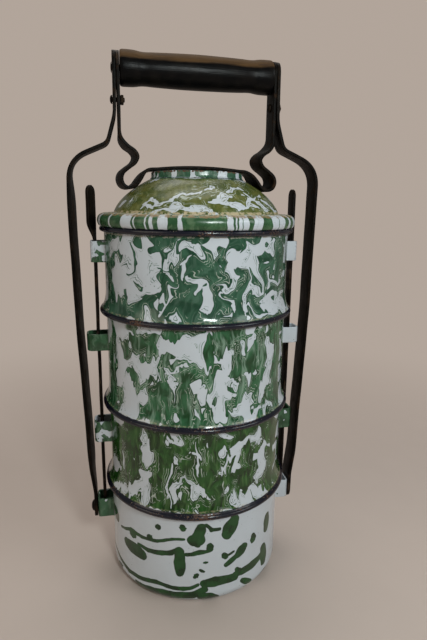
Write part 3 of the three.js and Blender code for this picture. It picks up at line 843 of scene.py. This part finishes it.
def skirt_profile():
    """Outside of a flared skirt, from the inside of its bead up to the wall, from z = 0 at its edge."""
    bead = arc(BEAD_R - BEAD, BEAD, BEAD, -100, 72, 14)
    flare = bezier((BEAD_R - 1.75, 4.3), (BODY_R + 0.35, 8.4), (BODY_R, FLARE_TOP), 14)
    return bead + flare


def rim_profile(rim):
    """Rounded top edge of a pan's wall, from outside to inside."""
    return arc(BODY_R - SHEET / 2, rim - SHEET / 2, SHEET / 2, 0, 180, 8)


def inside_profile(rim, floor):
    r = BODY_R - SHEET
    heights = [rim - 2 - (rim - 4 - FLOOR_CORNER - floor) * i / 8 for i in range(9)]
    corner = arc(r - FLOOR_CORNER, floor + FLOOR_CORNER, FLOOR_CORNER, 0, -90, 8)
    flat = [(radius, floor) for radius in (45, 30, 15, 0)]
    return [(r, z) for z in heights] + corner + flat


def wall_profile(low, high):
    return [(BODY_R, low + (high - low) * i / 10) for i in range(1, 10)]


def stacked_pan(pan):
    """A pan whose skirt slips over the rim below."""
    rim = PAN_HIGH[pan] - PAN_LOW[pan]
    underside = [(0, SKIRT_SEAT), (30, SKIRT_SEAT), (55, SKIRT_SEAT), (BODY_R + 0.3, SKIRT_SEAT)]
    bell = [(BODY_R + 0.9, SKIRT_SEAT - 0.5), (BODY_R + 1.4, 4.6), (BODY_R + 1.3, 2.4), (BODY_R + 1.7, 1.0)]
    walls = wall_profile(FLARE_TOP, rim - SHEET / 2)
    profile = underside + bell + skirt_profile() + walls + rim_profile(rim)
    profile += inside_profile(rim, SKIRT_SEAT + SHEET)
    return moved(turned(profile), z=PAN_LOW[pan])


def bottom_pan():
    rim = PAN_HIGH["pan_4"]
    flat = [(r, 0) for r in (0, 20, 40)]
    corner = arc(BODY_R - FLOOR_CORNER, FLOOR_CORNER, FLOOR_CORNER, -90, 0, 14)
    walls = wall_profile(FLOOR_CORNER, rim - SHEET / 2)
    return turned(flat + corner + walls + rim_profile(rim) + inside_profile(rim, SHEET))


def lid_shell():
    """Black bead, rolled rim, crease and low dome, with the inside about 1 mm within."""
    low = LID_LOW
    roll_r = BEAD_R + 0.1
    bead = arc(BEAD_R - 1.4 - BEAD, low + BEAD, BEAD, -100, 62, 12)
    roll = bezier((roll_r - 1.2, low + 4.4), (roll_r + 0.6, low + 7.4), (roll_r - 0.9, low + 10.6), 10)
    shoulder = bezier((roll_r - 1.1, low + 10.9), (roll_r - 3.0, low + 13.4), (roll_r - 8, CREASE_Z - 0.1), 8)
    crease = [(roll_r - 9.5, CREASE_Z - 0.25), (DOME_FOOT_R + 0.5, CREASE_Z - 0.1)]
    dome = bezier((DOME_FOOT_R, CREASE_Z + 0.3), (56.5, CREASE_Z + 12.9), (RING_R + 1, LID_HIGH - 0.3), 24)
    cap = [(RING_R - 1, LID_HIGH), (20, LID_HIGH), (10, LID_HIGH), (0, LID_HIGH)]
    inner = [(r - SHEET * 0.75, z - SHEET * 0.8) for r, z in reversed(dome)]
    inside = [(0, LID_HIGH - SHEET), (15, LID_HIGH - SHEET), *inner]
    inside += [(BODY_R + 0.6, CREASE_Z - SHEET), (BODY_R + 0.8, low + 4), (BODY_R + 0.9, low + 0.8)]
    return turned(bead + roll + shoulder + crease + dome + cap + inside)


def foot_ring():
    low = cad_mm("lid_foot_ring")[0][2]
    half, inner = SHEET / 2, RING_R - SHEET
    foot = [(inner, low - 0.1), (RING_R + 0.9, low - 0.15), (RING_R + 0.25, low + 0.5), (RING_R, low + 1.4)]
    top = arc(RING_R - half, RING_HIGH - half, half, 0, 180, 8)
    return turned([*foot, *top, (inner, low + 0.6)])


# ---- frame and bail ----


def rounded_line(corners, steps=12):
    """Points of a line through [x, z, radius] corners, each corner rounded off."""
    at = [Vector((c[0], c[1])) for c in corners]
    points = [tuple(at[0])]
    for i in range(1, len(at) - 1):
        back = (at[i - 1] - at[i]).normalized()
        ahead = (at[i + 1] - at[i]).normalized()
        reach = corners[i][2] * math.tan((math.pi - back.angle(ahead)) / 2)
        points += bezier(at[i] + back * reach, at[i], at[i] + ahead * reach, steps)
    return points + [tuple(at[-1])]


def rising(value, low, high):
    """0 below low and 1 above high, smooth between; the other way round when low is the higher."""
    share = min(max((value - low) / (high - low), 0), 1)
    return share * share * (3 - 2 * share)


def strap(side):
    """Outer strap, built on the +X side, from the tie rod down to its pivot."""
    tip = STRAP_WIDTH / 2
    line = rounded_line([
        (STRAP_TIP_X - 0.05, TIP_Z + tip),
        (58.5, 353, 30),
        (64.2, 333.8, 8),
        (91.9, 321.6, 22),
        (90.6, 214, 500),
        (85.5, 86, 90),
        (STRAP_FOOT_X, 65, 30),
        (STRAP_FOOT_X, PIVOT_Z - tip),
    ])

    def lean(z):
        return STRAP_LEAN[side] * rising(z, 62, 100) * rising(z, 325, 290)

    centre = [Vector((x - lean(z) * tip, 0, z)) for x, z in line]
    return bar(evenly(centre, 1.2), lambda place: (lean(place.z), 1, 0), STRAP_WIDTH, STRAP_THICK)


def arch_z(x):
    """Height of the clamp's middle over the foot ring, arched about the pivot."""
    reach = RING_HIGH - PIVOT_Z
    return RING_HIGH + FIT + CLAMP_THICK / 2 + (RING_R**2 - x**2) / (2 * reach)


def smooth_through(points, steps):
    """Catmull-Rom curve through the points."""
    out = []
    ends = [points[0], *points, points[-1]]
    for a, b, c, d in zip(ends, ends[1:], ends[2:], ends[3:]):
        for i in range(steps):
            t = i / steps
            weights = (2 * t**2 - t - t**3, 2 - 5 * t**2 + 3 * t**3, t + 4 * t**2 - 3 * t**3, t**3 - t**2)
            out.append(tuple(0.5 * sum(w * p[k] for w, p in zip(weights, (a, b, c, d))) for k in (0, 1)))
    return out + [points[-1]]


def spring_clamp():
    """One strip from grip end to grip end, with an S-shaped spring on each side."""
    spring = [
        (CLAMP_LEG_X, 345), (55.3, 337.4), (51.8, 332.4), (47.2, 329.2), (45, 325.4), (46.9, 321),
        (51.6, 317.4), (55.4, 314), (56.6, 309.6), (54.8, 305.4), (50.6, 303.9), (46.3, 305.9),
        (43, 310.2), (39.8, 314.3), (35.6, 316.7), (ARCH_END_X, arch_z(ARCH_END_X)),
    ]
    arch = [(x, arch_z(x)) for x in range(ARCH_END_X - 5, -1, -5)]
    half = [(CLAMP_LEG_X, TIP_Z + CLAMP_WIDTH / 2), *smooth_through(spring, 6), *arch]
    other = [(-x, z) for x, z in reversed(half[:-1])]
    line = [(x, 0, z) for x, z in half + other]

    def across(place):
        lean = SPRING_LEAN * rising(abs(place.x), 36, 44) * rising(place.z, 343, 331)
        return (-lean, 1, 0)

    return bar(evenly(line, 1.0), across, CLAMP_WIDTH, CLAMP_THICK)


def upright(side):
    low, high = cad_mm("upright_right")

    def across(place):
        twist = math.radians(UPRIGHT_TWIST[side]) * rising(place.z, *UPRIGHT_BEND)
        return (math.sin(twist), math.cos(twist), 0)

    line = evenly([Vector((UPRIGHT_X, 0, z)) for z in (low[2], high[2])], 1.2)
    for place in line:
        place.x += UPRIGHT_SET[side] * rising(place.z, *UPRIGHT_BEND)
    return bar(line, across, UPRIGHT_WIDTH, UPRIGHT_THICK)


def lug(number):
    """A band bent round the upright, both feet brazed to the pan."""
    reach, corner = LUGS[number]
    low, high = cad_mm(f"lug_{number}_right")
    side = LUG_SLOT / 2 + LUG_WALL / 2
    far = reach - LUG_WALL / 2
    r = corner - LUG_WALL / 2
    foot = math.sqrt(BODY_R**2 - side**2) - 0.2
    bends = arc(far - r, -side + r, r, -90, 0, 8) + arc(far - r, side - r, r, 0, 90, 8)
    path = [(foot, -side), *bends, (foot, side)]
    middle = (low[2] + high[2]) / 2
    centre = [Vector((x, y, middle)) for x, y in path]
    return bar(evenly(centre, 0.8), (0, 0, 1), high[2] - low[2], LUG_WALL, 0.7, False, 0.9)


def pin(profile, z, steps=32):
    """A round fastener turned about X at the given height."""
    return moved(along_x(turned(profile, steps)), z=z)


def domed(r, face, rise):
    """Half the outline of a domed end, from its rim at the face to its middle."""
    turns = [math.radians(a) for a in range(0, 90, 15)]
    return [(r * math.cos(a), face + rise * math.sin(a)) for a in turns] + [(0, face + rise)]


def pivot_rivet():
    tail = UPRIGHT_X - UPRIGHT_THICK / 2 - FIT
    head = STRAP_FOOT_X + STRAP_THICK / 2 + FIT
    dome = [(RIVET_HEAD_R - 0.1, head), *domed(RIVET_HEAD_R, head, RIVET_HEAD_RISE)[1:]]
    foot = reversed(domed(RIVET_TAIL_R, tail, -RIVET_TAIL_RISE))
    return pin([*foot, (RIVET_R, tail), (RIVET_R, head), *dome], PIVOT_Z)


def tie_rod():
    face = STRAP_TIP_X + STRAP_THICK / 2 + FIT
    peen = domed(PEEN_R, face, PEEN_RISE)
    other = [(r, -x) for r, x in reversed(peen)]
    return pin([*other, (ROD_R, -face), (ROD_R, face), *peen], ROD_Z)


def bolt(head_x, nut_x):
    """A bolt with its head against head_x, whose nut sits against nut_x."""
    sign = 1 if nut_x > head_x else -1
    end = nut_x + sign * BOLT_END
    head = reversed(domed(BOLT_HEAD_R, head_x - sign * BOLT_HEAD_EDGE, -sign * BOLT_HEAD_RISE))
    shank = [(BOLT_R, head_x), (BOLT_R, end - sign * 0.4), (BOLT_R - 0.4, end), (0, end)]
    return pin([*head, (BOLT_HEAD_R, head_x), *shank], BOLT_Z)


def nut(face_x, sign):
    """A hexagon nut with chamfered corners."""
    flat = (NUT_R, NUT_CHAMFER), (NUT_R, NUT_DEPTH - NUT_CHAMFER)
    rows = [(NUT_R - 0.4, 0), *flat, (NUT_R - 0.4, NUT_DEPTH)]
    verts, faces = [], []
    for r, depth in rows:
        verts += [(face_x + sign * depth, y, z + BOLT_Z) for y, z in arc(0, 0, r, 0, 300, 5)]
    for row in range(3):
        for i in range(6):
            j = (i + 1) % 6
            faces.append([row * 6 + i, row * 6 + j, row * 6 + 6 + j, row * 6 + 6 + i])
    return verts, faces + [list(range(6)), list(range(18, 24))]


def grip():
    """Turned handle: a bead at each end, a slight waist, and a fuller middle."""
    end = -GRIP_HALF
    start = [(10.4, end), (11.2, end + 0.35), (11.6, end + 1.2)]
    bead = bezier((11.7, end + 2), (11.75, end + 9), (11.3, end + 11), 6)
    waist = bezier((11.3, end + 11.3), (10.4, end + 15), (10.9, end + 21), 8)
    body = bezier((10.95, end + 22), (11.5, end + 36), (11.6, 0), 12)
    left = start + bead + waist + body
    right = [(r, -x) for r, x in reversed(left[:-1])]
    return pin([(GRIP_BORE_R, end), *left, *right, (GRIP_BORE_R, -end)], ROD_Z, 64)


# ---- putting it together ----

PAN_LOOKS = {
    "pan_1": pan_enamel("pan_1", BLUE_GREEN, 2.0, PAN_1_STROKES, 3.4, 0.3, 0, 0.30, 0.55, PAN_1_CURLS),
    "pan_2": pan_enamel("pan_2", LEAF_GREEN, 2.0, PAN_2_STROKES, 2.4, 0.5, 8, 0.75, 0.45),
    "pan_3": pan_enamel("pan_3", MOSS_GREEN, 5.5, PAN_3_STROKES, 2.6, 0.7, 8, 0.40, 0.6),
    "pan_4": pan_enamel("pan_4", BOTTLE_GREEN, -7.0, PAN_4_STROKES, 1.4, 0, 0, 0.10, 0.5),
}
for index, pan in enumerate(PANS):
    shape = bottom_pan() if pan == "pan_4" else stacked_pan(pan)
    make(pan + "_shell", shaken(shape, 26, 0.14, index), "frame", "pan_enamel", PAN_LOOKS[pan], pan)

LID_LOOK = lid_enamel()
make("lid_shell", shaken(lid_shell(), 24, 0.15, 7), "lid", "lid_enamel", LID_LOOK, "lid_dome")
make("lid_ring", shaken(foot_ring(), 15, 0.12, 9), "lid", "lid_enamel", LID_LOOK, "lid_foot_ring")

FRAME_IRON = iron("frame_iron", (1, 1, 0.4))
SPRING_IRON = iron("spring_iron", (0.8, 1, 0.8))
STRAP_FACE_X = STRAP_BOLT_X + STRAP_THICK / 2 + FIT
CLAMP_FACE_X = CLAMP_LEG_X - CLAMP_THICK / 2 - FIT
LUG_BIAS = {(1, "left"): -1, (1, "right"): -5, (2, "left"): 5, (2, "right"): -4,
            (3, "left"): 0, (3, "right"): 3, (4, "left"): 4, (4, "right"): -4}

# how a part built on the +X side gets to its own side, and the seed of its unevenness
SIDES = {"right": (moved, 5), "left": (half_turned, 3)}


def iron_piece(kind, side, part, body, uneven=0.0):
    place, seed = SIDES[side]
    shape = shaken(place(part), 30, uneven, seed)
    make(f"{kind}_{side}_iron", shape, body, "iron", FRAME_IRON, f"{kind}_{side}")


for side, (place, _) in SIDES.items():
    iron_piece("upright", side, upright(side), "frame", 0.25)
    iron_piece("pivot_rivet", side, pivot_rivet(), "frame")
    iron_piece("strap", side, strap(side), "bail", 0.3)
    bolt_ends = (STRAP_FACE_X, CLAMP_FACE_X) if side == "left" else (CLAMP_FACE_X, STRAP_FACE_X)
    iron_piece("clamp_bolt", side, bolt(*bolt_ends), "bail")
    iron_piece("clamp_nut", side, nut(bolt_ends[1], 1 if side == "right" else -1), "bail")
    for number in LUGS:
        look = lug_enamel(number, side, LUG_BIAS[number, side])
        shape = shaken(place(lug(number)), 9, 0.2, number)
        make(f"lug_{number}_{side}_band", shape, "frame", "lug_enamel", look, f"lug_{number}_{side}")

make("spring_clamp_iron", shaken(spring_clamp(), 30, 0.15, 11), "bail", "iron", SPRING_IRON, "spring_clamp")
make("grip_rod_iron", tie_rod(), "bail", "iron", FRAME_IRON, "grip_rod")
make("grip_turned", shaken(grip(), 30, 0.25, 2), "handgrip", "grip_wood", grip_wood(), "grip")


# ---- floor, light and camera ----


BACKDROP = (0.443, 0.375, 0.325)
AMBIENT = (0.20, 0.19, 0.175)  # what the world lights with, while the camera sees BACKDROP
FLOOR_TONE = (0.55, 0.465, 0.42)
FLOOR_HALF, FLOOR_DROP = 6.0, 0.0003
FADE = (0.18 / MM, 0.75 / MM)  # how far out the floor turns into the backdrop, in millimetres


def floor_paint():
    """Pale paint that fades out into the backdrop's tone for the camera, so that no edge shows."""
    look = Look("floor_paint")
    tone = look.mix(look.noise(look.at, 30, 3), tuple(0.96 * c for c in FLOOR_TONE), FLOOR_TONE)
    look.finish(tone, 0.7, look.noise(look.at, 2, 2), 0.05)
    far = look.step(look.vector("LENGTH", look.at), *FADE)
    seen = look.nodes.new("ShaderNodeLightPath").outputs["Is Camera Ray"]
    glow = look.nodes.new("ShaderNodeEmission")
    glow.inputs["Color"].default_value = (*BACKDROP, 1)
    both = look.nodes.new("ShaderNodeMixShader")
    for socket, value in zip(both.inputs, (look.times(far, seen), look.shader.outputs[0], glow.outputs[0])):
        look.plug(socket, value)
    out = next(n for n in look.nodes if n.type == "OUTPUT_MATERIAL")
    look.plug(out.inputs["Surface"], both.outputs[0])
    return look.material


def floor():
    mesh = bpy.data.meshes.new("floor")
    corners = [(x * FLOOR_HALF, y * FLOOR_HALF, 0) for x, y in ((-1, -1), (1, -1), (1, 1), (-1, 1))]
    mesh.from_pydata(corners, [], [(0, 1, 2, 3)])
    mesh.materials.append(floor_paint())
    sheet = placed("floor", mesh)
    sheet.location.z = -FLOOR_DROP


def area_light(name, place, aim, size, power, colour):
    data = bpy.data.lights.new(name, "AREA")
    data.shape = "DISK"
    data.size = size
    data.energy = power
    data.color = colour
    lamp = placed(name, data)
    lamp.location = place
    lamp.rotation_euler = (Vector(aim) - Vector(place)).to_track_quat("-Z", "Y").to_euler()


def world_light():
    world = bpy.data.worlds.new("studio")
    world.use_nodes = True
    nodes, links = world.node_tree.nodes, world.node_tree.links
    back = nodes["Background"]
    back.inputs["Strength"].default_value = 1.0
    path = nodes.new("ShaderNodeLightPath")
    tone = nodes.new("ShaderNodeMix")
    tone.data_type = "RGBA"
    for socket, colour in zip(COLOUR_SOCKETS, (AMBIENT, BACKDROP)):
        tone.inputs[socket].default_value = (*colour, 1)
    links.new(path.outputs["Is Camera Ray"], tone.inputs["Factor"])
    links.new(tone.outputs[COLOUR_OUT], back.inputs["Color"])
    bpy.context.scene.world = world


CAMERA_DISTANCE, CAMERA_HEIGHT = 0.3776, 0.2921
CAMERA_YAW, CAMERA_HEAD = math.radians(9.812), math.radians(2.109)
CAMERA_PITCH, CAMERA_ROLL = math.radians(13.141), math.radians(0.828)
FOCAL_SHARE = 0.76375  # focal length over the picture's height


def camera():
    data = bpy.data.cameras.new("camera")
    data.sensor_width = 36
    data.lens = data.sensor_width * FOCAL_SHARE
    data.clip_start, data.clip_end = 0.01, 50
    eye = placed("camera", data)
    heading = CAMERA_YAW + CAMERA_HEAD
    level = math.cos(CAMERA_PITCH)
    ahead = Vector((math.sin(heading) * level, math.cos(heading) * level, -math.sin(CAMERA_PITCH)))
    right = Vector((math.cos(heading), -math.sin(heading), 0))
    up = right.cross(ahead)
    tilted_right = right * math.cos(CAMERA_ROLL) + up * math.sin(CAMERA_ROLL)
    tilted_up = up * math.cos(CAMERA_ROLL) - right * math.sin(CAMERA_ROLL)
    turn = Matrix((tilted_right, tilted_up, -ahead)).transposed().to_4x4()
    place = Vector((-math.sin(CAMERA_YAW), -math.cos(CAMERA_YAW), 0)) * CAMERA_DISTANCE
    eye.matrix_world = Matrix.Translation(place + Vector((0, 0, CAMERA_HEIGHT))) @ turn
    bpy.context.scene.camera = eye


camera()
floor()
world_light()
area_light("key", (0.07, -0.52, 0.46), (0, 0, 0.17), 0.10, 1.45, (0.92, 1.0, 0.99))
area_light("side", (0.9, -0.7, 0.8), (0, 0, 0.2), 0.6, 3.2, (0.95, 1.0, 1.0))
area_light("fill", (-1.1, -0.5, 0.7), (0, 0, 0.2), 0.9, 2.6, (1.0, 0.88, 0.74))
area_light("ceiling", (0, 0.9, 2.4), (0, 0.5, 0), 2.0, 22, (1.0, 0.97, 0.93))

view_settings = bpy.context.scene.view_settings
view_settings.view_transform = "Standard"
